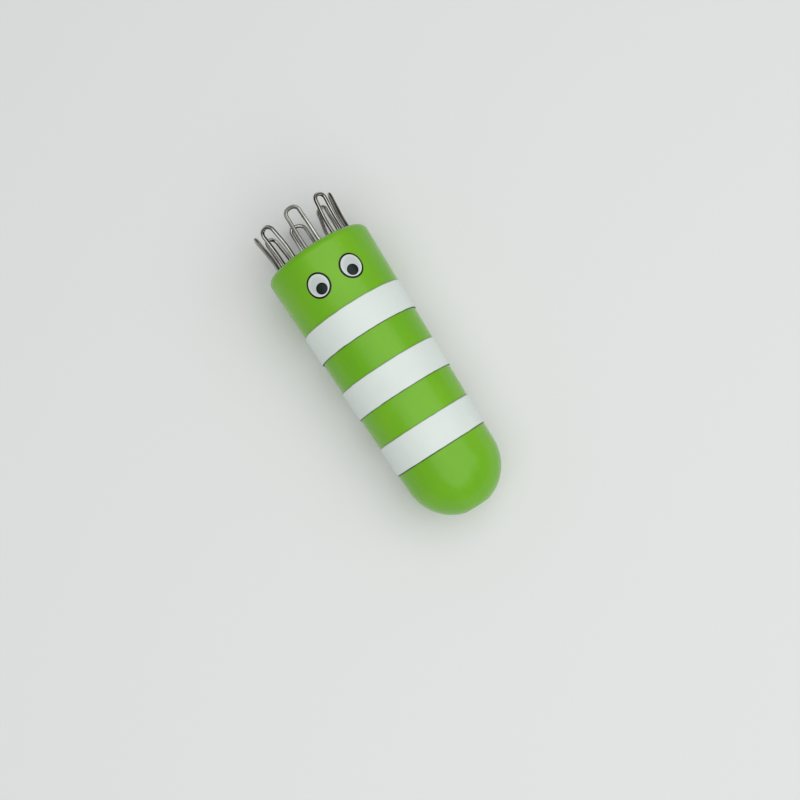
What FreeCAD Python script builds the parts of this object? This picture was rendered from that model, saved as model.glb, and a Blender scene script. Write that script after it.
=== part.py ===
import FreeCAD, Part
import math
import os

import Sketcher
from FreeCAD import Vector

# Spool knitter in the shape of a striped worm with two eyes, in millimetres, lying with its face up.
# +X runs along the axis to the hooks, +Z is the side with the eyes, and the rim's lowest point is at Z 0.
# Lengths along the axis are counted from the rim's plane towards the tail, and are called "down" below.

doc = FreeCAD.newDocument("spool_knitter")
sheet = doc.addObject("Spreadsheet::Sheet", "Sizes")

SIZES = {
    # body: a tapered tube, widest at the head
    "head_radius": 16.7,
    "head_wall": 3.0,
    "rim_round": 2.2,
    "rim_inner_round": 0.4,
    "tail_radius": 14.6,
    "dome_start": 74.55,
    "bore_radius": 12.5,
    # stripes, counted from the rim
    "first_stripe": 20.25,
    "stripe_pitch": 19.6,
    "stripe_width": 9.5,
    "stripe_thickness": 0.25,
    "layer_gap": 0.02,
    # ring that carries the hooks, seated on a ledge inside the rim
    "ring_recess": 1.0,
    "ring_thickness": 6.5,
    "ring_fit": 0.05,
    "ring_bore_radius": 9.0,
    "ring_mouth_round": 1.2,
    "ring_chamfer": 0.3,
    "seat_ledge": 1.0,
    # hooks: hairpins of round steel wire
    "hook_inset": 1.8,
    "hook_height": 13.5,
    "wire_radius": 0.58,
    "leg_spacing": 4.7,
    "leg_depth": 5.2,
    "leg_clearance": 0.04,
    "leg_end_gap": 0.1,
    "bend_height": 4.2,
    "bend_radius": 9.0,
    "hook_lean_angle": 8,
    # tail cap with its spigot and the hole that the cord leaves by
    "spigot_length": 6.0,
    "spigot_clearance": 0.08,
    "spigot_end_gap": 0.6,
    "spigot_wall": 1.5,
    "spigot_lead": 0.5,
    "cap_wall": 2.0,
    "exit_radius": 3.5,
    "exit_round": 0.8,
    # eyes: oval prints in three layers
    "eye_distance": 11.3,
    "eye_angle": 19.3,
    "eye_length": 7.7,
    "eye_width": 7.2,
    "eye_outline": 0.48,
    "pupil_radius": 1.6,
    "pupil_drop": 1.25,
    "pupil_inward": 0.35,
    "ink_thickness": 0.1,
}
for row, (alias, number) in enumerate(SIZES.items(), start=1):
    sheet.set(f"A{row}", alias)
    sheet.set(f"B{row}", str(number))
    sheet.setAlias(f"B{row}", alias)
doc.recompute()

HOOK_COUNT = 8
STRIPE_COUNT = 3


def size(name):
    """The sheet's cell for one size, as it is written in an expression."""
    return f"Sizes.{name}"


def outer_radius(down):
    """Outside radius of the tapered body at a distance below the rim, from the head's to the tail's."""
    drop = f"({size('head_radius')} - {size('tail_radius')})"
    share = f"(({down}) - {size('rim_round')}) / ({size('dome_start')} - {size('rim_round')})"
    return f"({size('head_radius')} - {drop} * {share})"


def on_sphere(radius, across):
    """Distance below the rim at which a sphere centred on the dome's start has the radius given by across."""
    return f"({size('dome_start')} + sqrt(({radius}) ^ 2 - ({across}) ^ 2))"


def value(expression):
    """The number that an expression has now, as a first guess for a sketch."""
    return float(sheet.evalExpression(expression))


ring_end = f"({size('ring_recess')} + {size('ring_thickness')})"
seat_radius = f"({size('head_radius')} - {size('head_wall')})"
hook_circle = f"({seat_radius} - {size('hook_inset')})"
last_stripe = f"({size('first_stripe')} + {STRIPE_COUNT - 1} * {size('stripe_pitch')})"
cap_start = f"({last_stripe} + {size('stripe_width')})"
exit_lip = f"({size('exit_radius')} + {size('exit_round')})"
cap_tip = on_sphere(size("tail_radius"), exit_lip)
rim_x = f"(({cap_tip} - {size('hook_height')}) / 2)"
axis_height = size("head_radius")

# A turned piece is drawn with X down from the rim, so half a turn about Z puts its tail end at -X.
TURNED = f"placement(vector({rim_x}; 0; {axis_height}); rotation(vector(0; 0; 1); 180))"


def fix_point(sketch, geometry, end, down, across):
    """Ties one end of a line or arc to its two coordinates from the sketch's origin."""
    for kind, expression in (("DistanceX", down), ("DistanceY", across)):
        if expression == "0":
            axis = -2 if kind == "DistanceX" else -1
            sketch.addConstraint(Sketcher.Constraint("PointOnObject", geometry, end, axis))
            continue
        constraint = Sketcher.Constraint(kind, -1, 1, geometry, end, value(expression))
        index = sketch.addConstraint(constraint)
        sketch.setExpression(f"Constraints[{index}]", expression)


def origin_part(body, role):
    """The plane or axis of a body's own origin that has this role."""
    return next(part for part in body.Origin.OriginFeatures if part.Role == role)


def turned_body(name, corners):
    """A solid of revolution about X. Each corner is (down, across), with the radius and the centre of the
    arc that leads to the next corner added where that edge is round."""
    body = doc.addObject("PartDesign::Body", name)
    body.Label = name
    sketch = body.newObject("Sketcher::SketchObject", f"{name}_profile")
    sketch.AttachmentSupport = [(origin_part(body, "XY_Plane"), "")]
    sketch.MapMode = "FlatFace"
    points = [Vector(value(corner[0]), value(corner[1]), 0) for corner in corners]
    joins = []
    for number, corner in enumerate(corners):
        here = points[number]
        there = points[(number + 1) % len(points)]
        if len(corner) == 2:
            geometry = sketch.addGeometry(Part.LineSegment(here, there))
            joins.append((geometry, 1, 2))
            continue
        radius, centre = corner[2], Vector(value(corner[3][0]), value(corner[3][1]), 0)
        start, end = (math.atan2(point.y - centre.y, point.x - centre.x) for point in (here, there))
        forward = (end - start) % (2 * math.pi) < math.pi
        if not forward:
            start, end = end, start
        circle = Part.Circle(centre, Vector(0, 0, 1), value(radius))
        geometry = sketch.addGeometry(Part.ArcOfCircle(circle, start, end))
        joins.append((geometry, 1, 2) if forward else (geometry, 2, 1))
        index = sketch.addConstraint(Sketcher.Constraint("Radius", geometry, value(radius)))
        sketch.setExpression(f"Constraints[{index}]", radius)
    for number, corner in enumerate(corners):
        geometry, first, _ = joins[number]
        before, _, last = joins[number - 1]
        sketch.addConstraint(Sketcher.Constraint("Coincident", before, last, geometry, first))
        fix_point(sketch, geometry, first, corner[0], corner[1])
    doc.recompute()
    turned = body.newObject("PartDesign::Revolution", f"{name}_turned")
    turned.Profile = sketch
    turned.ReferenceAxis = (sketch, ["H_Axis"])
    turned.Angle = 360
    sketch.Visibility = False
    body.setExpression("Placement", TURNED)
    doc.recompute()
    return body


def body_tube():
    """Tapered tube with a rounded rim, a ledged seat for the hook ring and a straight socket for the cap."""
    rim_top = f"({size('head_radius')} - {size('rim_round')})"
    inner_top = f"({seat_radius} + {size('rim_inner_round')})"
    socket = f"({cap_start} - {size('spigot_length')} - {size('spigot_end_gap')})"
    return turned_body(
        "body_tube",
        [
            ("0", inner_top),
            ("0", rim_top, size("rim_round"), (size("rim_round"), rim_top)),
            (size("rim_round"), size("head_radius")),
            (cap_start, outer_radius(cap_start)),
            (cap_start, size("bore_radius")),
            (socket, size("bore_radius")),
            (ring_end, f"({seat_radius} - {size('seat_ledge')})"),
            (ring_end, seat_radius),
            (
                size("rim_inner_round"),
                seat_radius,
                size("rim_inner_round"),
                (size("rim_inner_round"), inner_top),
            ),
        ],
    )


def hook_ring():
    """Ring that sits on the ledge below the rim. Each hook's two legs stand in blind holes in its top."""
    ring_outer = f"({seat_radius} - {size('ring_fit')})"
    mouth = f"({size('ring_bore_radius')} + {size('ring_mouth_round')})"
    below_mouth = f"({size('ring_recess')} + {size('ring_mouth_round')})"
    body = turned_body(
        "hook_ring",
        [
            (size("ring_recess"), mouth),
            (size("ring_recess"), f"({ring_outer} - {size('ring_chamfer')})"),
            (f"({size('ring_recess')} + {size('ring_chamfer')})", ring_outer),
            (ring_end, ring_outer),
            (ring_end, size("ring_bore_radius")),
            (below_mouth, size("ring_bore_radius"), size("ring_mouth_round"), (below_mouth, mouth)),
        ],
    )
    holes = body.newObject("Sketcher::SketchObject", "leg_hole_circles")
    holes.AttachmentSupport = [(origin_part(body, "YZ_Plane"), "")]
    holes.MapMode = "FlatFace"
    holes.setExpression("AttachmentOffset.Base.z", size("ring_recess"))
    hole_radius = f"({size('wire_radius')} + {size('leg_clearance')})"
    half_spacing = f"({size('leg_spacing')} / 2)"
    for side in (1, -1):
        centre = Vector(side * value(half_spacing), value(hook_circle), 0)
        holes.addGeometry(Part.Circle(centre, Vector(0, 0, 1), value(hole_radius)))
    fix_point(holes, 0, 3, half_spacing, hook_circle)
    holes.addConstraint(Sketcher.Constraint("Symmetric", 0, 3, 1, 3, -2))
    holes.addConstraint(Sketcher.Constraint("Equal", 0, 1))
    index = holes.addConstraint(Sketcher.Constraint("Radius", 0, value(hole_radius)))
    holes.setExpression(f"Constraints[{index}]", hole_radius)
    doc.recompute()
    solid_volume = body.Shape.Volume
    pocket = body.newObject("PartDesign::Pocket", "leg_holes")
    pocket.Profile = holes
    pocket.Reversed = True
    pocket.setExpression("Length", f"{size('leg_depth')} + {size('leg_end_gap')}")
    holes.Visibility = False
    doc.recompute()
    around = body.newObject("PartDesign::PolarPattern", "leg_holes_around")
    around.Originals = [pocket]
    around.Axis = (origin_part(body, "X_Axis"), [""])
    around.Angle = 360
    around.Occurrences = HOOK_COUNT
    body.Tip = around
    doc.recompute()
    hole_area = math.pi * value(hole_radius) ** 2
    expected = 2 * HOOK_COUNT * hole_area * float(pocket.Length)
    removed = solid_volume - body.Shape.Volume
    if abs(removed - expected) > 0.05 * expected:
        raise RuntimeError(f"the leg holes take away {removed:.2f}, and not {expected:.2f}")
    return body


def tail_cap():
    """Domed end: a spigot that pushes into the tube, a shoulder against its end and the cord's exit hole."""
    spigot_outer = f"({size('bore_radius')} - {size('spigot_clearance')})"
    spigot_inner = f"({spigot_outer} - {size('spigot_wall')})"
    spigot_end = f"({cap_start} - {size('spigot_length')})"
    inner_sphere = f"({size('tail_radius')} - {size('cap_wall')})"
    centre = (size("dome_start"), "0")
    lip_start = f"({cap_tip} - {size('exit_round')})"
    return turned_body(
        "tail_cap",
        [
            (spigot_end, spigot_inner),
            (spigot_end, f"({spigot_outer} - {size('spigot_lead')})"),
            (f"({spigot_end} + {size('spigot_lead')})", spigot_outer),
            (cap_start, spigot_outer),
            (cap_start, outer_radius(cap_start)),
            (size("dome_start"), size("tail_radius"), size("tail_radius"), centre),
            (cap_tip, exit_lip, size("exit_round"), (lip_start, exit_lip)),
            (lip_start, size("exit_radius")),
            (on_sphere(inner_sphere, size("exit_radius")), size("exit_radius"), inner_sphere, centre),
            (on_sphere(inner_sphere, spigot_inner), spigot_inner),
        ],
    )


def stripe(number):
    """White band wrapped round the tapered body; number counts from the head."""
    start = f"({size('first_stripe')} + {number} * {size('stripe_pitch')})"
    end = f"({start} + {size('stripe_width')})"
    inside = size("layer_gap")
    outside = f"({size('layer_gap')} + {size('stripe_thickness')})"
    return turned_body(
        f"stripe_{number + 1}",
        [
            (start, f"({outer_radius(start)} + {inside})"),
            (start, f"({outer_radius(start)} + {outside})"),
            (end, f"({outer_radius(end)} + {outside})"),
            (end, f"({outer_radius(end)} + {inside})"),
        ],
    )


def primitive(kind, name, placement, **sizes):
    """A Part primitive whose sizes and place are expressions."""
    shape = doc.addObject(f"Part::{kind}", name)
    for attribute, expression in sizes.items():
        shape.setExpression(attribute, expression)
    shape.setExpression("Placement", placement)
    return shape


def hook(number):
    """Hairpin of round wire: two legs in the ring, a gentle bend that leans them outward, and a round arch.
    It is made with X up its legs, Z away from the axis and Y from leg to leg, then turned to its place."""
    name = f"hook_{number + 1}"
    lean = f"({size('hook_lean_angle')} * 1 deg)"
    wire = size("wire_radius")
    half = f"({size('leg_spacing')} / 2)"
    foot = f"(-{size('ring_recess')} - {size('leg_depth')})"
    bend = size("bend_radius")
    bend_top = f"({size('bend_height')} + {bend} * sin({lean}))"
    bend_out = f"({hook_circle} + {bend} * (1 - cos({lean})))"
    rise = f"({size('hook_height')} - {wire} - {half} * cos({lean}) - {bend_top})"
    run = f"({rise} / cos({lean}))"
    arch_out = f"({bend_out} + {rise} * tan({lean}))"
    pieces = []
    for side, leg in ((1, "left"), (-1, "right")):
        across = f"({side} * {half})"
        pieces += [
            primitive(
                "Cylinder",
                f"{name}_{leg}_leg",
                f"placement(vector({foot}; {across}; {hook_circle}); rotation(vector(0; 1; 0); 90))",
                Radius=wire,
                Height=f"{size('bend_height')} - {foot}",
            ),
            primitive(
                "Torus",
                f"{name}_{leg}_bend",
                f"placement(vector({size('bend_height')}; {across}; {hook_circle} + {bend});"
                " rotation(vector(1; 1; -1); 120))",
                Radius1=bend,
                Radius2=wire,
                Angle3=size("hook_lean_angle"),
            ),
            primitive(
                "Cylinder",
                f"{name}_{leg}_shank",
                f"placement(vector({bend_top}; {across}; {bend_out});"
                f" rotation(vector(0; 1; 0); 90 - {size('hook_lean_angle')}))",
                Radius=wire,
                Height=run,
            ),
        ]
    pieces.append(
        primitive(
            "Torus",
            f"{name}_arch",
            f"placement(vector({bend_top} + {rise}; 0; {arch_out});"
            f" rotation(vector(0; 1; 0); -{size('hook_lean_angle')}) * rotation(vector(1; 1; 0); 180))",
            Radius1=half,
            Radius2=wire,
            Angle3="180",
        )
    )
    wire_hook = doc.addObject("Part::MultiFuse", name)
    wire_hook.Label = name
    wire_hook.Shapes = pieces
    wire_hook.Refine = False
    angle = 360 / HOOK_COUNT * number
    wire_hook.setExpression(
        "Placement",
        f"placement(vector({rim_x}; 0; {axis_height}); rotation(vector(1; 0; 0); {angle}))",
    )
    return wire_hook


def ink_layer(name, layer, angle, down, length, width):
    """Thin oval skin on the tapered body: where a cone's shell and an oval prism about a radius cross."""
    inside = f"({size('layer_gap')} + {layer} * {size('ink_thickness')})"
    outside = f"({inside} + {size('ink_thickness')})"
    cone_place = (
        f"placement(vector({rim_x} - {size('rim_round')}; 0; {axis_height});"
        " rotation(vector(0; 1; 0); -90))"
    )
    cones = []
    for side, lift in (("outside", outside), ("inside", inside)):
        cones.append(
            primitive(
                "Cone",
                f"{name}_{side}",
                cone_place,
                Radius1=f"{size('head_radius')} + {lift}",
                Radius2=f"{outer_radius(size('first_stripe'))} + {lift}",
                Height=f"{size('first_stripe')} - {size('rim_round')}",
            )
        )
    shell = doc.addObject("Part::Cut", f"{name}_shell")
    shell.Base, shell.Tool = cones
    turn = f"({angle} * 1 deg)"
    depth = f"({size('head_radius')} / 2)"
    oval = primitive(
        "Ellipse",
        f"{name}_oval",
        f"placement(vector({rim_x} - {down}; -sin({turn}) * {depth}; {axis_height} + cos({turn}) * {depth});"
        f" rotation(vector(1; 0; 0); {angle}))",
        MajorRadius=f"{length} / 2",
        MinorRadius=f"{width} / 2",
    )
    prism = doc.addObject("Part::Extrusion", f"{name}_prism")
    prism.Base = oval
    prism.DirMode = "Normal"
    prism.setExpression("LengthFwd", size("head_radius"))
    prism.Solid = True
    layer_skin = doc.addObject("Part::Common", name)
    layer_skin.Label = name
    layer_skin.Base = shell
    layer_skin.Tool = prism
    return layer_skin


def eye(side, name):
    """Three layers of ink: a dark oval, a pale oval that leaves its outline, and a dark round pupil."""
    angle = f"({side} * {size('eye_angle')})"
    inward = f"({size('pupil_inward')} / {size('head_radius')} * 180 / pi)"
    pupil_angle = f"({side} * ({size('eye_angle')} - {inward}))"
    pupil_down = f"({size('eye_distance')} + {size('pupil_drop')})"
    pale = [f"({size(edge)} - 2 * {size('eye_outline')})" for edge in ("eye_length", "eye_width")]
    pupil = f"(2 * {size('pupil_radius')})"
    return [
        ink_layer(
            f"eye_outline_{name}", 0, angle, size("eye_distance"), size("eye_length"), size("eye_width")
        ),
        ink_layer(f"eye_white_{name}", 1, angle, size("eye_distance"), *pale),
        ink_layer(f"pupil_{name}", 2, pupil_angle, pupil_down, pupil, pupil),
    ]


subparts = [body_tube(), hook_ring(), tail_cap()]
subparts += [stripe(number) for number in range(STRIPE_COUNT)]
subparts += [hook(number) for number in range(HOOK_COUNT)]
subparts += eye(1, "right") + eye(-1, "left")
doc.recompute()

for item in doc.Objects:
    if "Invalid" in item.State or "Error" in item.State:
        raise RuntimeError(f"{item.Label} was not made: {item.State}")
for item in subparts:
    if item.Shape.isNull() or not item.Shape.isValid():
        raise RuntimeError(f"{item.Label} is not a valid shape")

os.makedirs("parts", exist_ok=True)
for item in subparts:
    item.Shape.exportStep(f"parts/{item.Label}.step")
    box = item.Shape.BoundBox
    print(
        f"{item.Label}: {len(item.Shape.Solids)} solid, volume {item.Shape.Volume:.2f},"
        f" X {box.XMin:.2f} to {box.XMax:.2f}, Y {box.YMin:.2f} to {box.YMax:.2f},"
        f" Z {box.ZMin:.2f} to {box.ZMax:.2f}"
    )
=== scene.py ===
import math

import bpy
import numpy as np
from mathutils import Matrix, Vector


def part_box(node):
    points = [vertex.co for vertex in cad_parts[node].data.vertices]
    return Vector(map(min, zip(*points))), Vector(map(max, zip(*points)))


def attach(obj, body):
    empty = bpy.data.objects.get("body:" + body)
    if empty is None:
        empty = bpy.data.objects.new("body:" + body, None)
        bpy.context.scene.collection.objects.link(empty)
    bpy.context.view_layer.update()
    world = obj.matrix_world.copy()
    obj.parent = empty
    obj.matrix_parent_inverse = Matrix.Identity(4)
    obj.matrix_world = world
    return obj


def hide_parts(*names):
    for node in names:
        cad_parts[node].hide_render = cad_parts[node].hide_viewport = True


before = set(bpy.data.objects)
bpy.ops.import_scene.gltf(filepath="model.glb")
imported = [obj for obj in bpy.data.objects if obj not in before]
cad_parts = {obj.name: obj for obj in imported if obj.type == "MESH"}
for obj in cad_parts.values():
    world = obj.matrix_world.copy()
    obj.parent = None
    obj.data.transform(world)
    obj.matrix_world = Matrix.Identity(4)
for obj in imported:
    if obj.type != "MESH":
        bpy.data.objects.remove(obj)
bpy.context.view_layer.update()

# Camera. The photograph looks down on the tool from almost straight above, with its head towards the upper
# left. Place and turn were found from the rim, the stripe edges and the hooks. The view has no shift.
MM = 0.001
camera_place = (-30.42, 26.06, 368.99)
camera_turn = (4.477, -1.694, -122.531)
camera_data = bpy.data.cameras.new("camera")
camera_data.lens = 54.0
camera_data.sensor_width = 36.0
camera = bpy.data.objects.new("camera", camera_data)
camera.location = Vector(camera_place) * MM
camera.rotation_euler = [math.radians(angle) for angle in camera_turn]
bpy.context.scene.collection.objects.link(camera)
bpy.context.scene.camera = camera
bpy.context.scene.view_settings.view_transform = "Standard"

# Floor. A pale matt board that the undersides of the stripes touch, so it follows the tube's slight taper.
# It isn't part of the tool.
board_reach = 1.5
head_band, tail_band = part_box("stripe_1"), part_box("stripe_3")
board_slope = (head_band[0].z - tail_band[0].z) / (head_band[1].x - tail_band[1].x)
board_corners = np.array([(-1, -1, 0), (1, -1, 0), (1, 1, 0), (-1, 1, 0)]) * board_reach
board_corners[:, 2] = head_band[0].z + (board_corners[:, 0] - head_band[1].x) * board_slope
board_mesh = bpy.data.meshes.new("board")
board_mesh.from_pydata(board_corners.tolist(), [], [(0, 1, 2, 3)])
board = bpy.data.objects.new("board", board_mesh)
bpy.context.scene.collection.objects.link(board)
board_look = bpy.data.materials.new("pale_board")
board_look.use_nodes = True
board_shader = board_look.node_tree.nodes["Principled BSDF"]
board_shader.inputs["Base Color"].default_value = (0.80, 0.80, 0.79, 1)
board_shader.inputs["Roughness"].default_value = 0.7
board_mesh.materials.append(board_look)

# Light. An even room and one very large soft light above the tool, a little towards the picture's lower
# right, so that the tube shades off gently towards both sides and the plastic shows no hard glare.
world = bpy.data.worlds.new("room")
world.use_nodes = True
world.node_tree.nodes["Background"].inputs["Color"].default_value = (0.95, 0.97, 1.0, 1)
world.node_tree.nodes["Background"].inputs["Strength"].default_value = 0.40
bpy.context.scene.world = world


def soft_light(name, place, wide, high, watts):
    """Rectangular light at a place in metres, turned to face the middle of the tool."""
    data = bpy.data.lights.new(name, "AREA")
    data.shape = "RECTANGLE"
    data.size = wide
    data.size_y = high
    data.energy = watts
    light = bpy.data.objects.new(name, data)
    light.location = place
    light.rotation_euler = Vector(place).to_track_quat("Z", "Y").to_euler()
    bpy.context.scene.collection.objects.link(light)


soft_light("top_light", place=(-0.18, -0.10, 0.80), wide=1.50, high=1.20, watts=7.0)

# Body tube. One moulding of glossy green plastic, widest at its rounded rim, with a ledge inside the head
# that the hook ring sits on and a straight socket at the tail. Its outside sizes are those of the frame.
tube_low, tube_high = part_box("body_tube")
seam_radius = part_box("tail_cap")[1].y
rim_x, seam_x = tube_high.x, tube_low.x
head_radius = tube_high.y
axis_z = tube_high.z - head_radius
rim_round = 2.2 * MM
# The rim's corner is drawn in by this much, so that its arc stays within the head's radius.
rim_ease = 0.004 * MM
seat_radius = 13.7 * MM
ledge_radius = 12.7 * MM
bore_radius = 12.5 * MM
seat_depth = rim_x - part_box("hook_ring")[0].x
socket_depth = 6.6 * MM
mouth_round = 0.4 * MM
edge_round = 0.15 * MM
socket_round = 0.5 * MM
inner_corner = 0.05 * MM
around_steps = 192
deep_green = (0.140, 0.425, 0.006)
leaf_green = (0.195, 0.500, 0.014)


def radius_at(x):
    """Outside radius of the tapered tube at x: a straight line that has the cap's radius at the seam and the
    head's where the rim's rounding starts."""
    return seam_radius + (x - seam_x) * (head_radius - seam_radius) / (rim_x - rim_round - seam_x)


def outline(corners, arc_step=4.0, fewest=4, longest=2.0 * MM, support=0.04 * MM, nearest=0.0001 * MM):
    """Closed profile in x and radius. Each corner is (x, radius, rounding), and its rounding becomes an arc
    tangent to both sides, in steps of arc_step degrees but no fewer than the fewest. A straight run has a
    point close to each end and then even ones between, which keeps its shading flat. A point that falls on
    the one before it is left out."""
    table = np.array(corners, float)
    here, rounding = table[:, :2], table[:, 2]
    back = np.roll(here, 1, axis=0) - here
    ahead = np.roll(here, -1, axis=0) - here
    back /= np.linalg.norm(back, axis=1)[:, None]
    ahead /= np.linalg.norm(ahead, axis=1)[:, None]
    half = np.arccos(np.clip((back * ahead).sum(axis=1), -1, 1)) / 2
    middle = back + ahead
    centre = here + middle * (rounding / np.sin(half) / np.linalg.norm(middle, axis=1))[:, None]
    start = here + back * (rounding / np.tan(half))[:, None]
    end = here + ahead * (rounding / np.tan(half))[:, None]
    parts = []
    for number in range(len(table)):
        sweep = math.pi - 2 * half[number]
        steps = max(fewest, math.ceil(math.degrees(sweep) / arc_step))
        share = np.linspace(0, 1, steps + 1)[:, None]
        arms = start[number] - centre[number], end[number] - centre[number]
        turned_arms = np.sin((1 - share) * sweep) * arms[0] + np.sin(share * sweep) * arms[1]
        parts.append(centre[number] + turned_arms / math.sin(sweep))
        run = start[(number + 1) % len(table)] - end[number]
        length = np.linalg.norm(run)
        if length > 3 * support:
            count = max(1, math.ceil((length - 2 * support) / longest))
            share = np.linspace(support / length, 1 - support / length, count + 1)[:, None]
            parts.append(end[number] + share * run)
    points = np.vstack(parts)
    return points[np.linalg.norm(points - np.roll(points, 1, axis=0), axis=1) > nearest]


def surface(name, points, looped):
    """Mesh of a grid of points, points[i, j], whose j direction runs round to its start. The i direction
    does so too if it is looped, and otherwise each end is closed by a fan of triangles to its middle. The
    texture map has j's share round the loop and i's share along it."""
    rows, columns = points.shape[:2]
    corner = points.reshape(-1, 3)
    i, j = np.meshgrid(np.arange(rows if looped else rows - 1), np.arange(columns), indexing="ij")
    i, j = i.ravel(), j.ravel()
    below, beside = (i + 1) % rows, (j + 1) % columns
    quads = np.stack(
        [i * columns + j, below * columns + j, below * columns + beside, i * columns + beside], axis=1
    )
    along = np.stack([i, i + 1, i + 1, i], axis=1) / (rows if looped else rows - 1)
    round_it = np.stack([j, j, j + 1, j + 1], axis=1) / columns
    faces = quads.tolist()
    maps = [np.stack([round_it, along], axis=2).reshape(-1, 2)]
    if not looped:
        corner = np.vstack([corner, points[0].mean(axis=0), points[-1].mean(axis=0)])
        ring = np.arange(columns)
        after = (ring + 1) % columns
        last = (rows - 1) * columns
        first_fan = np.stack([np.full(columns, len(corner) - 2), ring, after], axis=1)
        last_fan = np.stack([np.full(columns, len(corner) - 1), last + after, last + ring], axis=1)
        faces += first_fan.tolist() + last_fan.tolist()
        for level, sides in ((0.0, [ring, ring + 1]), (1.0, [ring + 1, ring])):
            share = np.stack([ring + 0.5, *sides], axis=1) / columns
            maps.append(np.stack([share, np.full(share.shape, level)], axis=2).reshape(-1, 2))
    mesh = bpy.data.meshes.new(name)
    mesh.from_pydata(corner.tolist(), [], faces)
    mesh.polygons.foreach_set("use_smooth", np.ones(len(faces), bool))
    mesh.uv_layers.new(name="shares").data.foreach_set("uv", np.vstack(maps).ravel())
    mesh.update()
    piece = bpy.data.objects.new(name, mesh)
    bpy.context.scene.collection.objects.link(piece)
    return piece


def turned(name, profile):
    """Solid of revolution about the tool's axis: the point (x, radius) of the closed profile, turned by the
    angle a, is (x, -radius sin a, axis height + radius cos a). The profile is taken in the direction that
    makes the faces look outwards."""
    x, radius = profile[:, 0], profile[:, 1]
    if (x * (np.roll(radius, -1) - np.roll(radius, 1))).sum() < 0:
        x, radius = x[::-1], radius[::-1]
    angle = np.linspace(0, 2 * math.pi, around_steps, endpoint=False)
    points = np.empty((len(x), around_steps, 3))
    points[:, :, 0] = x[:, None]
    points[:, :, 1] = -radius[:, None] * np.sin(angle)
    points[:, :, 2] = axis_z + radius[:, None] * np.cos(angle)
    return surface(name, points, looped=True)


def new_look(name, **constants):
    """Material whose shader has these constants on its own sockets, named with underscores for spaces."""
    look = bpy.data.materials.new(name)
    look.use_nodes = True
    shader = look.node_tree.nodes["Principled BSDF"]
    for socket, value in constants.items():
        shader.inputs[socket.replace("_", " ")].default_value = value
    return look


def add_node(look, kind, inputs, **settings):
    """Adds a node. An input is a number or another node's output, and settings are the node's own."""
    made = look.node_tree.nodes.new(f"ShaderNode{kind}")
    for setting, value in settings.items():
        setattr(made, setting, value)
    for socket, value in inputs.items():
        if isinstance(value, bpy.types.NodeSocket):
            look.node_tree.links.new(value, made.inputs[socket])
        else:
            made.inputs[socket].default_value = value
    return made


def feed(look, socket, output):
    """Joins a node's output to one socket of the material's shader."""
    look.node_tree.links.new(output, look.node_tree.nodes["Principled BSDF"].inputs[socket])


def noise(look, coordinates, scale, detail=2.0, rough=0.5):
    """Output of a noise texture with so many patches to the metre, or to the whole of a texture map."""
    inputs = {"Vector": coordinates, "Scale": scale, "Detail": detail, "Roughness": rough}
    return add_node(look, "TexNoise", inputs).outputs["Fac"]


def between(look, factor, low, high, start=0.3, stop=0.7):
    """Number that goes from low to high as the factor goes from start to stop, which are by default about
    the lowest and highest of a noise."""
    inputs = {"Value": factor, "From Min": start, "From Max": stop, "To Min": low, "To Max": high}
    return add_node(look, "MapRange", inputs).outputs["Result"]


def shades(look, factor, *stops):
    """Colour that follows the factor through these stops, each a position and a colour."""
    ramp = add_node(look, "ValToRGB", {"Fac": factor})
    while len(ramp.color_ramp.elements) < len(stops):
        ramp.color_ramp.elements.new(0.5)
    for element, (position, colour) in zip(ramp.color_ramp.elements, stops):
        element.position = position
        element.color = (*colour, 1)
    return ramp.outputs["Color"]


def relief(look, height, depth, below=None):
    """Bump of a depth in metres, on top of another bump if one is given."""
    inputs = {"Height": height, "Distance": depth}
    if below:
        inputs["Normal"] = below
    return add_node(look, "Bump", inputs).outputs["Normal"]


def green_plastic():
    """Glossy leaf-green plastic: slow drifts of colour from the melt that run along the tube, a shallow
    orange-peel skin, and patches that handling has made a little duller."""
    look = new_look("green_plastic", IOR=1.50, Specular_IOR_Level=0.34)
    place = add_node(look, "TexCoord", {}).outputs["Object"]
    drawn_out = add_node(look, "Mapping", {"Vector": place, "Scale": (0.35, 1.0, 1.0)}).outputs["Vector"]
    drift = noise(look, drawn_out, 70, detail=3)
    feed(look, "Base Color", shades(look, drift, (0.30, deep_green), (0.70, leaf_green)))
    handling = noise(look, place, 160, detail=4, rough=0.6)
    feed(look, "Roughness", between(look, handling, 0.20, 0.30))
    peel = relief(look, noise(look, place, 500, detail=1), 0.004 * MM)
    feed(look, "Normal", relief(look, handling, 0.004 * MM, peel))
    return look


plastic = green_plastic()
tube = turned(
    "tube_shell",
    outline(
        [
            (rim_x, radius_at(rim_x) - rim_ease, rim_round),
            (seam_x, seam_radius, edge_round),
            (seam_x, bore_radius, edge_round),
            (seam_x + socket_depth, bore_radius, socket_round),
            (rim_x - seat_depth, ledge_radius, edge_round),
            (rim_x - seat_depth, seat_radius, inner_corner),
            (rim_x, seat_radius, mouth_round),
        ]
    ),
)
tube.data.materials.append(plastic)
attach(tube, "body")
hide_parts("body_tube")

# Tail cap. A second green moulding: a half ball with a round hole for the cord at its end, and a thin spigot
# that pushes into the tube's socket. Its shoulder closes against the tube at the edge of the last stripe.
dome_start = 74.55 * MM
dome_x = rim_x - dome_start
dome_radius = radius_at(dome_x)
dome_wall = 2.0 * MM
exit_radius = 3.5 * MM
exit_round = 0.8 * MM
spigot_radius = 12.42 * MM
spigot_bore = 10.92 * MM
spigot_length = 6.0 * MM
spigot_lead = 0.5 * MM
inner_round = 0.3 * MM


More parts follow.
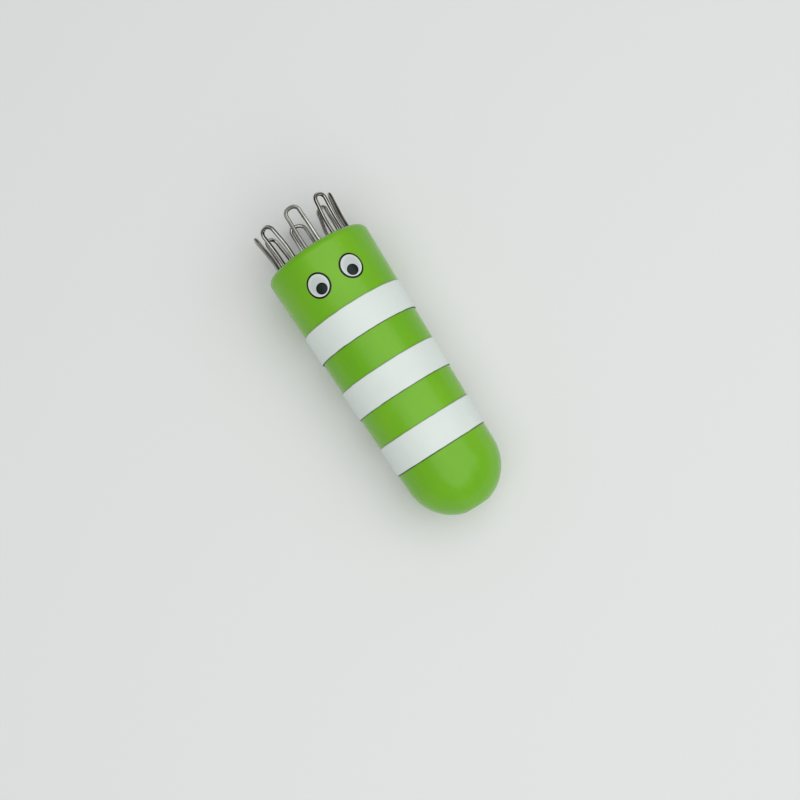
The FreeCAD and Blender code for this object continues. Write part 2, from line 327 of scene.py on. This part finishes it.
def around_ball(radius, start, stop, corners):
    """Corners of the polygon that goes round outside a circle about the dome's middle. The angles are taken
    from the tail's end, and rounding each corner by the circle's radius gives the circle back."""
    half = (stop - start) / corners / 2
    angle = start + half * (2 * np.arange(corners) + 1)
    reach = radius / math.cos(half)
    return [(dome_x - reach * math.cos(a), reach * math.sin(a), radius) for a in angle]


def tangent_meets(radius, angle, across):
    """x where the tangent of such a circle at this angle is this far from the axis."""
    return dome_x - radius * math.cos(angle) - math.tan(angle) * (radius * math.sin(angle) - across)


inside_radius = dome_radius - dome_wall
lip_angle = math.asin((exit_radius + exit_round) / (dome_radius - exit_round))
inner_start = math.asin((exit_radius + inner_round) / inside_radius)
inner_stop = math.asin((spigot_bore - inner_round) / inside_radius)
cap = turned(
    "cap_dome",
    outline(
        [
            (seam_x, seam_radius, edge_round),
            *around_ball(dome_radius, lip_angle, math.pi / 2, corners=3)[::-1],
            (tangent_meets(dome_radius, lip_angle, exit_radius), exit_radius, exit_round),
            (tangent_meets(inside_radius, inner_start, exit_radius), exit_radius, inner_round),
            *around_ball(inside_radius, inner_start, inner_stop, corners=1),
            (tangent_meets(inside_radius, inner_stop, spigot_bore), spigot_bore, inner_round),
            (seam_x + spigot_length, spigot_bore, inner_round),
            (seam_x + spigot_length, spigot_radius, spigot_lead),
            (seam_x, spigot_radius, inner_corner),
        ]
    ),
)
cap.data.materials.append(plastic)
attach(cap, "cap")
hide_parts("tail_cap")

# Hook ring. A third green moulding, pushed down onto the ledge inside the rim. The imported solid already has
# its true shape, with the rounded mouth and the sixteen blind holes, so it stays and takes the plastic.
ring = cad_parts["hook_ring"]
ring.data.materials.clear()
ring.data.materials.append(plastic)

# Stripes. Three bands of thin white film wrapped round the tube. The film is satin with a trace of mottling,
# and a thin painted shadow darkens both of its edges, more strongly along the edge nearer the tail.
film_gap = 0.02 * MM
film_edge = 0.10 * MM
film_foot = 0.01 * MM
# How far in from each edge of the film the painted edge shadow is at its full strength, and how far in it
# ends.
tail_shadow_full, tail_shadow_end = 0.10 * MM, 0.32 * MM
head_shadow_full, head_shadow_end = 0.06 * MM, 0.26 * MM
head_shadow_strength = 0.7
shadow_edge_wander = 0.06 * MM
# Colour of the painted shadow along the film's edges.
painted_edge_shadow_colour = (0.020, 0.038, 0.010, 1)
dull_white = (0.735, 0.800, 0.750)
clean_white = (0.765, 0.835, 0.780)


def white_film(low_x, high_x):
    """Satin white film between two x: faint mottling, hair-thin lines round the tube, and a painted shadow
    along both edges, stronger along the edge nearer the tail, whose inner edge wanders a little."""
    look = new_look("white_film", IOR=1.46)
    place = add_node(look, "TexCoord", {}).outputs["Object"]
    mottle = noise(look, place, 160, detail=3)
    white = shades(look, mottle, (0.25, dull_white), (0.65, clean_white))
    x = add_node(look, "SeparateXYZ", {"Vector": place}).outputs["X"]
    ragged = add_node(look, "Mapping", {"Vector": place, "Scale": (0.2, 1.0, 1.0)}).outputs["Vector"]
    wander = between(look, noise(look, ragged, 250, detail=2), -shadow_edge_wander, shadow_edge_wander)
    edge = add_node(look, "Math", {0: x, 1: wander}, operation="ADD").outputs["Value"]
    # Painted shadow along both edges of the film: full along the edge nearer the tail, weaker along the edge
    # nearer the head.
    tail_side = between(look, edge, 1.0, 0.0, low_x + tail_shadow_full, low_x + tail_shadow_end)
    head_side = between(
        look, edge, 0.0, head_shadow_strength, high_x - head_shadow_end, high_x - head_shadow_full
    )
    painted_edge_shadow = add_node(look, "Math", {0: tail_side, 1: head_side}, operation="MAXIMUM").outputs["Value"]
    blend = add_node(look, "MixRGB", {"Fac": painted_edge_shadow, "Color1": white, "Color2": painted_edge_shadow_colour})
    feed(look, "Base Color", blend.outputs["Color"])
    lines = add_node(look, "Mapping", {"Vector": place, "Scale": (14.0, 1.0, 1.0)}).outputs["Vector"]
    drawn = noise(look, lines, 240, detail=4, rough=0.7)
    feed(look, "Roughness", between(look, drawn, 0.40, 0.52))
    feed(look, "Normal", relief(look, drawn, 0.004 * MM, relief(look, mottle, 0.005 * MM)))
    return look


for number in (1, 2, 3):
    low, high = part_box(f"stripe_{number}")
    film_thickness = high.y - radius_at(high.x) - film_gap
    stripe = turned(
        f"stripe_film_{number}",
        outline(
            [
                (high.x, radius_at(high.x) + film_gap, film_foot),
                (high.x, radius_at(high.x) + film_gap + film_thickness, film_edge),
                (low.x, radius_at(low.x) + film_gap + film_thickness, film_edge),
                (low.x, radius_at(low.x) + film_gap, film_foot),
            ]
        ),
    )
    stripe.data.materials.append(white_film(low.x, high.x))
    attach(stripe, "body")
    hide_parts(f"stripe_{number}")

# Hooks. Eight hairpins of hard steel wire 1.16 mm thick. Both legs are pressed into the ring, stand straight
# for a few millimetres, lean out and meet in a round arch. They are bent by hand tools, so no two are alike.
wire_radius = 0.58 * MM
hook_circle = 11.9 * MM
hook_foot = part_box("hook_1")[0].x - rim_x
hook_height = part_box("hook_1")[1].x - rim_x
hole_half = 2.35 * MM
ring_depth = rim_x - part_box("hook_ring")[1].x
# The legs reach their own places this far above the ring, bend outwards about bend_height over the rim, and
# start to change over to the arch's width at narrow_height.
settle_height = 2.5 * MM
bend_height = 4.7 * MM
bend_blend = 1.6 * MM
lean = math.tan(math.radians(8))
narrow_height = 5.0 * MM
arch_power = 2.4
leg_points = 70
arch_points = 41
handled_steel = (0.52, 0.515, 0.475)
clean_steel = (0.90, 0.89, 0.85)
# Colours of the die streaks. They also carry a painted shade on the wire's two flanks and a painted highlight
# on its sides towards and away from the tool's axis, and the last number is how strong that painted part is.
dark_streak_and_painted_shade = (0.045, 0.043, 0.035)
bright_streak_and_painted_highlight = (0.70, 0.695, 0.67)
painted_highlight_strength = 0.08
# The hooks in turn, in millimetres. Legs: how far they stand to one side, half their distance. Arch: how far
# it is to one side, how far outwards, how far below the full height, its half width. The last number isn't a
# length but the arch's slope.
hook_shapes = [
    (0.25, 2.25, 0.40, 0.0, 0.35, 2.10, 0.0),
    (0.15, 2.35, 0.05, -0.1, 0.35, 2.20, 0.0),
    (0.0, 2.35, 0.0, -0.3, 0.15, 2.10, 0.0),
    (-0.20, 2.45, 0.0, 0.0, 0.05, 1.85, 0.0),
    (0.0, 2.35, 0.10, 0.0, 0.15, 2.30, -0.25),
    (-0.25, 2.35, 0.15, 0.0, 0.30, 2.20, 0.0),
    (0.0, 2.35, 0.0, 0.0, 0.15, 2.10, 0.0),
    (0.0, 2.42, 0.25, 0.3, 0.75, 2.30, 0.0),
]


def ease(share):
    """Smooth step from 0 to 1, level at both ends."""
    share = np.clip(share, 0, 1)
    return share * share * (3 - 2 * share)


def hook_line(leg_aside, leg_half, aside, outwards, down, arch_half, slope):
    """Centreline of one hairpin as points (height over the rim, side, distance from the axis). The legs rise
    out of the ring's holes to their own places, and their distance goes over smoothly to that of the arch,
    half of a squarish oval whose sine and cosine are raised to 2 over its power. Above the bend the hairpin
    leans out along a hyperbola that starts straight up. The arch's own place comes in with the square of the
    height, and its slope with the cube."""
    arch_height = hook_height - down - wire_radius - arch_half
    level = np.linspace(hook_foot, arch_height, leg_points)
    settled = ease((level + ring_depth) / settle_height)
    half = hole_half + (leg_half - hole_half) * settled
    half += (arch_half - leg_half) * ease((level - narrow_height) / (arch_height - narrow_height))
    angle = np.linspace(0, math.pi, arch_points)[1:-1]
    across = arch_half * np.sign(np.cos(angle)) * np.abs(np.cos(angle)) ** (2 / arch_power)
    arch = arch_height + arch_half * np.sin(angle) ** (2 / arch_power)
    height = np.concatenate([level, arch, level[::-1]])
    side = np.concatenate([half, across, -half[::-1]])
    over = height - bend_height
    ramp = (over + np.hypot(over, bend_blend)) / 2
    rise = np.clip(height, 0, None) / hook_height
    placed = side + leg_aside * ease((height + ring_depth) / settle_height) + (aside - leg_aside) * rise**2
    out = hook_circle + lean * ramp + outwards * rise**2
    return np.stack([height + slope * side * rise**3, placed, out], axis=1)


def wire(name, line, radius, turn, sides=20, end_share=0.8):
    """Round wire along a line that never runs straight out from the axis: a circle carried along it, square
    to its direction, and drawn in to a share of its radius at the two ends. The whole is then turned about
    the tool's axis."""
    ahead = np.gradient(line, axis=0)
    ahead /= np.linalg.norm(ahead, axis=1)[:, None]
    first = np.cross(ahead, (0.0, 0.0, 1.0))
    first /= np.linalg.norm(first, axis=1)[:, None]
    second = np.cross(first, ahead)
    angle = np.linspace(0, 2 * math.pi, sides, endpoint=False)[:, None]
    circle = first[:, None] * np.cos(angle) + second[:, None] * np.sin(angle)
    thickness = np.full(len(line), radius)
    thickness[[0, -1]] = radius * end_share
    points = line[:, None] + circle * thickness[:, None, None]
    height, side, out = points[..., 0], points[..., 1], points[..., 2]
    placed = np.stack(
        [
            rim_x + height,
            side * math.cos(turn) - out * math.sin(turn),
            axis_z + side * math.sin(turn) + out * math.cos(turn),
        ],
        axis=2,
    )
    return surface(name, placed, looped=False)


def drawn_steel():
    """Bright steel wire: dark and bright streaks along its length from the drawing die, finer lines between
    them, and greyer patches from handling. A painted highlight lightens the sides towards and away from the
    tool's axis, and a painted shade darkens the flanks between them. The texture map's first number goes
    round the wire from one of its flanks."""
    look = new_look("drawn_steel", Metallic=1.0)
    coordinates = add_node(look, "TexCoord", {})
    wide = add_node(look, "Mapping", {"Vector": coordinates.outputs["UV"], "Scale": (9.0, 1.2, 1.0)})
    streaks = noise(look, wide.outputs["Vector"], 1.0, detail=1)
    round_it = add_node(look, "SeparateXYZ", {"Vector": coordinates.outputs["UV"]}).outputs["X"]
    # Painted highlight and shade: a wave that goes twice round the wire is added to the die streaks. It is
    # lightest on the sides towards and away from the tool's axis and darkest on the flanks between them.
    angle = add_node(look, "Math", {0: round_it, 1: 4 * math.pi, 2: -math.pi}, operation="MULTIPLY_ADD")
    painted_highlight_turn = add_node(look, "Math", {0: angle.outputs["Value"]}, operation="COSINE").outputs["Value"]
    streaks_and_painted_highlight = add_node(look, "Math", {0: painted_highlight_turn, 1: painted_highlight_strength, 2: streaks}, operation="MULTIPLY_ADD")
    fine = add_node(look, "Mapping", {"Vector": coordinates.outputs["UV"], "Scale": (34.0, 4.0, 1.0)})
    lines = noise(look, fine.outputs["Vector"], 1.0, detail=4, rough=0.7)
    patches = noise(look, coordinates.outputs["Object"], 260, detail=3)
    worn = shades(look, patches, (0.30, handled_steel), (0.65, clean_steel))
    # Dark and bright colours, chosen by the die streaks and the painted highlight and shade together.
    drawn = shades(look, streaks_and_painted_highlight.outputs["Value"], (0.45, dark_streak_and_painted_shade), (0.58, bright_streak_and_painted_highlight))
    both = {"Fac": 1.0, "Color1": worn, "Color2": drawn}
    feed(look, "Base Color", add_node(look, "MixRGB", both, blend_type="MULTIPLY").outputs["Color"])
    feed(look, "Roughness", between(look, lines, 0.14, 0.28))
    feed(look, "Normal", relief(look, lines, 0.010 * MM))
    return look


steel = drawn_steel()
for number, (*lengths, slope) in enumerate(hook_shapes):
    line = hook_line(*(length * MM for length in lengths), slope)
    hook = wire(f"wire_hook_{number + 1}", line, wire_radius, 2 * math.pi / len(hook_shapes) * number)
    hook.data.materials.append(steel)
    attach(hook, "body")
    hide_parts(f"hook_{number + 1}")

# Eyes. Each is printed in three coats of glossy ink: a black oval, a white oval that leaves a black outline,
# and a black pupil set low and towards the nose. Each coat is thicker in the middle than at its edge.
coat_thickness = 0.1 * MM
coat_rows = 16
coat_columns = 96


def coat_of_ink(name, node, level, grown):
    """Oval coat of ink on the tube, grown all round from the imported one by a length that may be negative.
    The point at the share s and angle t of the oval lies s cos t of half its length along the tube and
    s sin t of half its width round it. Its height is the thickness times the root of 1 - s to the eighth,
    and the coat is closed underneath."""
    low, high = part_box(node)
    near, far = sorted((low.y, high.y), key=abs)
    sides = math.atan2(near, high.z - axis_z), math.atan2(far, low.z - axis_z)
    turn, spread = (sides[0] + sides[1]) / 2, abs(sides[1] - sides[0]) / 2
    middle_x, half_length = (low.x + high.x) / 2, (high.x - low.x) / 2 + grown
    base = film_gap + level * (coat_thickness + film_gap)
    half_width = (radius_at(middle_x) + base) * math.sin(spread) + grown
    share = np.sin(np.linspace(0, math.pi / 2, coat_rows + 1)[1:])
    share = np.concatenate([share, share[:-1][::-1]])[:, None]
    height = coat_thickness * np.sqrt(1 - share**8)
    height[coat_rows:] = 0
    angle = np.linspace(0, 2 * math.pi, coat_columns, endpoint=False)
    x = middle_x + half_length * share * np.cos(angle)
    radius = radius_at(x) + base + height
    across = turn + np.arcsin(half_width * share * np.sin(angle) / radius_at(x))
    points = np.stack([x, radius * np.sin(across), axis_z + radius * np.cos(across)], axis=2)
    return surface(name, points, looped=False)


def glossy_ink(name, middle, rim):
    """Glossy ink that is paler or darker at the coat's rim, with a faintly uneven skin. The texture map's
    second number is 0 in the coat's middle and one half at its rim."""
    look = new_look(name, IOR=1.50, Specular_IOR_Level=0.20)
    coordinates = add_node(look, "TexCoord", {})
    from_middle = add_node(look, "SeparateXYZ", {"Vector": coordinates.outputs["UV"]}).outputs["Y"]
    feed(look, "Base Color", shades(look, from_middle, (0.20, middle), (0.42, rim)))
    skin = noise(look, coordinates.outputs["Object"], 900, detail=3)
    feed(look, "Roughness", between(look, skin, 0.14, 0.26))
    feed(look, "Normal", relief(look, skin, 0.004 * MM))
    return look


black_ink = glossy_ink("black_ink", middle=(0.008, 0.016, 0.011), rim=(0.002, 0.003, 0.002))
white_ink = glossy_ink("white_ink", middle=(0.56, 0.61, 0.59), rim=(0.70, 0.74, 0.72))
# Each coat's kind, ink and slot, and how far in millimetres it has run beyond its packed oval.
coats = [
    ("eye_outline", black_ink, "eye_black", 0.0),
    ("eye_white", white_ink, "eye_white", -0.07),
    ("pupil", black_ink, "eye_black", 0.08),
]
for side in ("left", "right"):
    for level, (kind, ink, slot, run) in enumerate(coats):
        coat = coat_of_ink(f"{kind}_ink_{side}", f"{kind}_{side}", level, run * MM)
        coat.data.materials.append(ink)
        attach(coat, "body")
        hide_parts(f"{kind}_{side}")
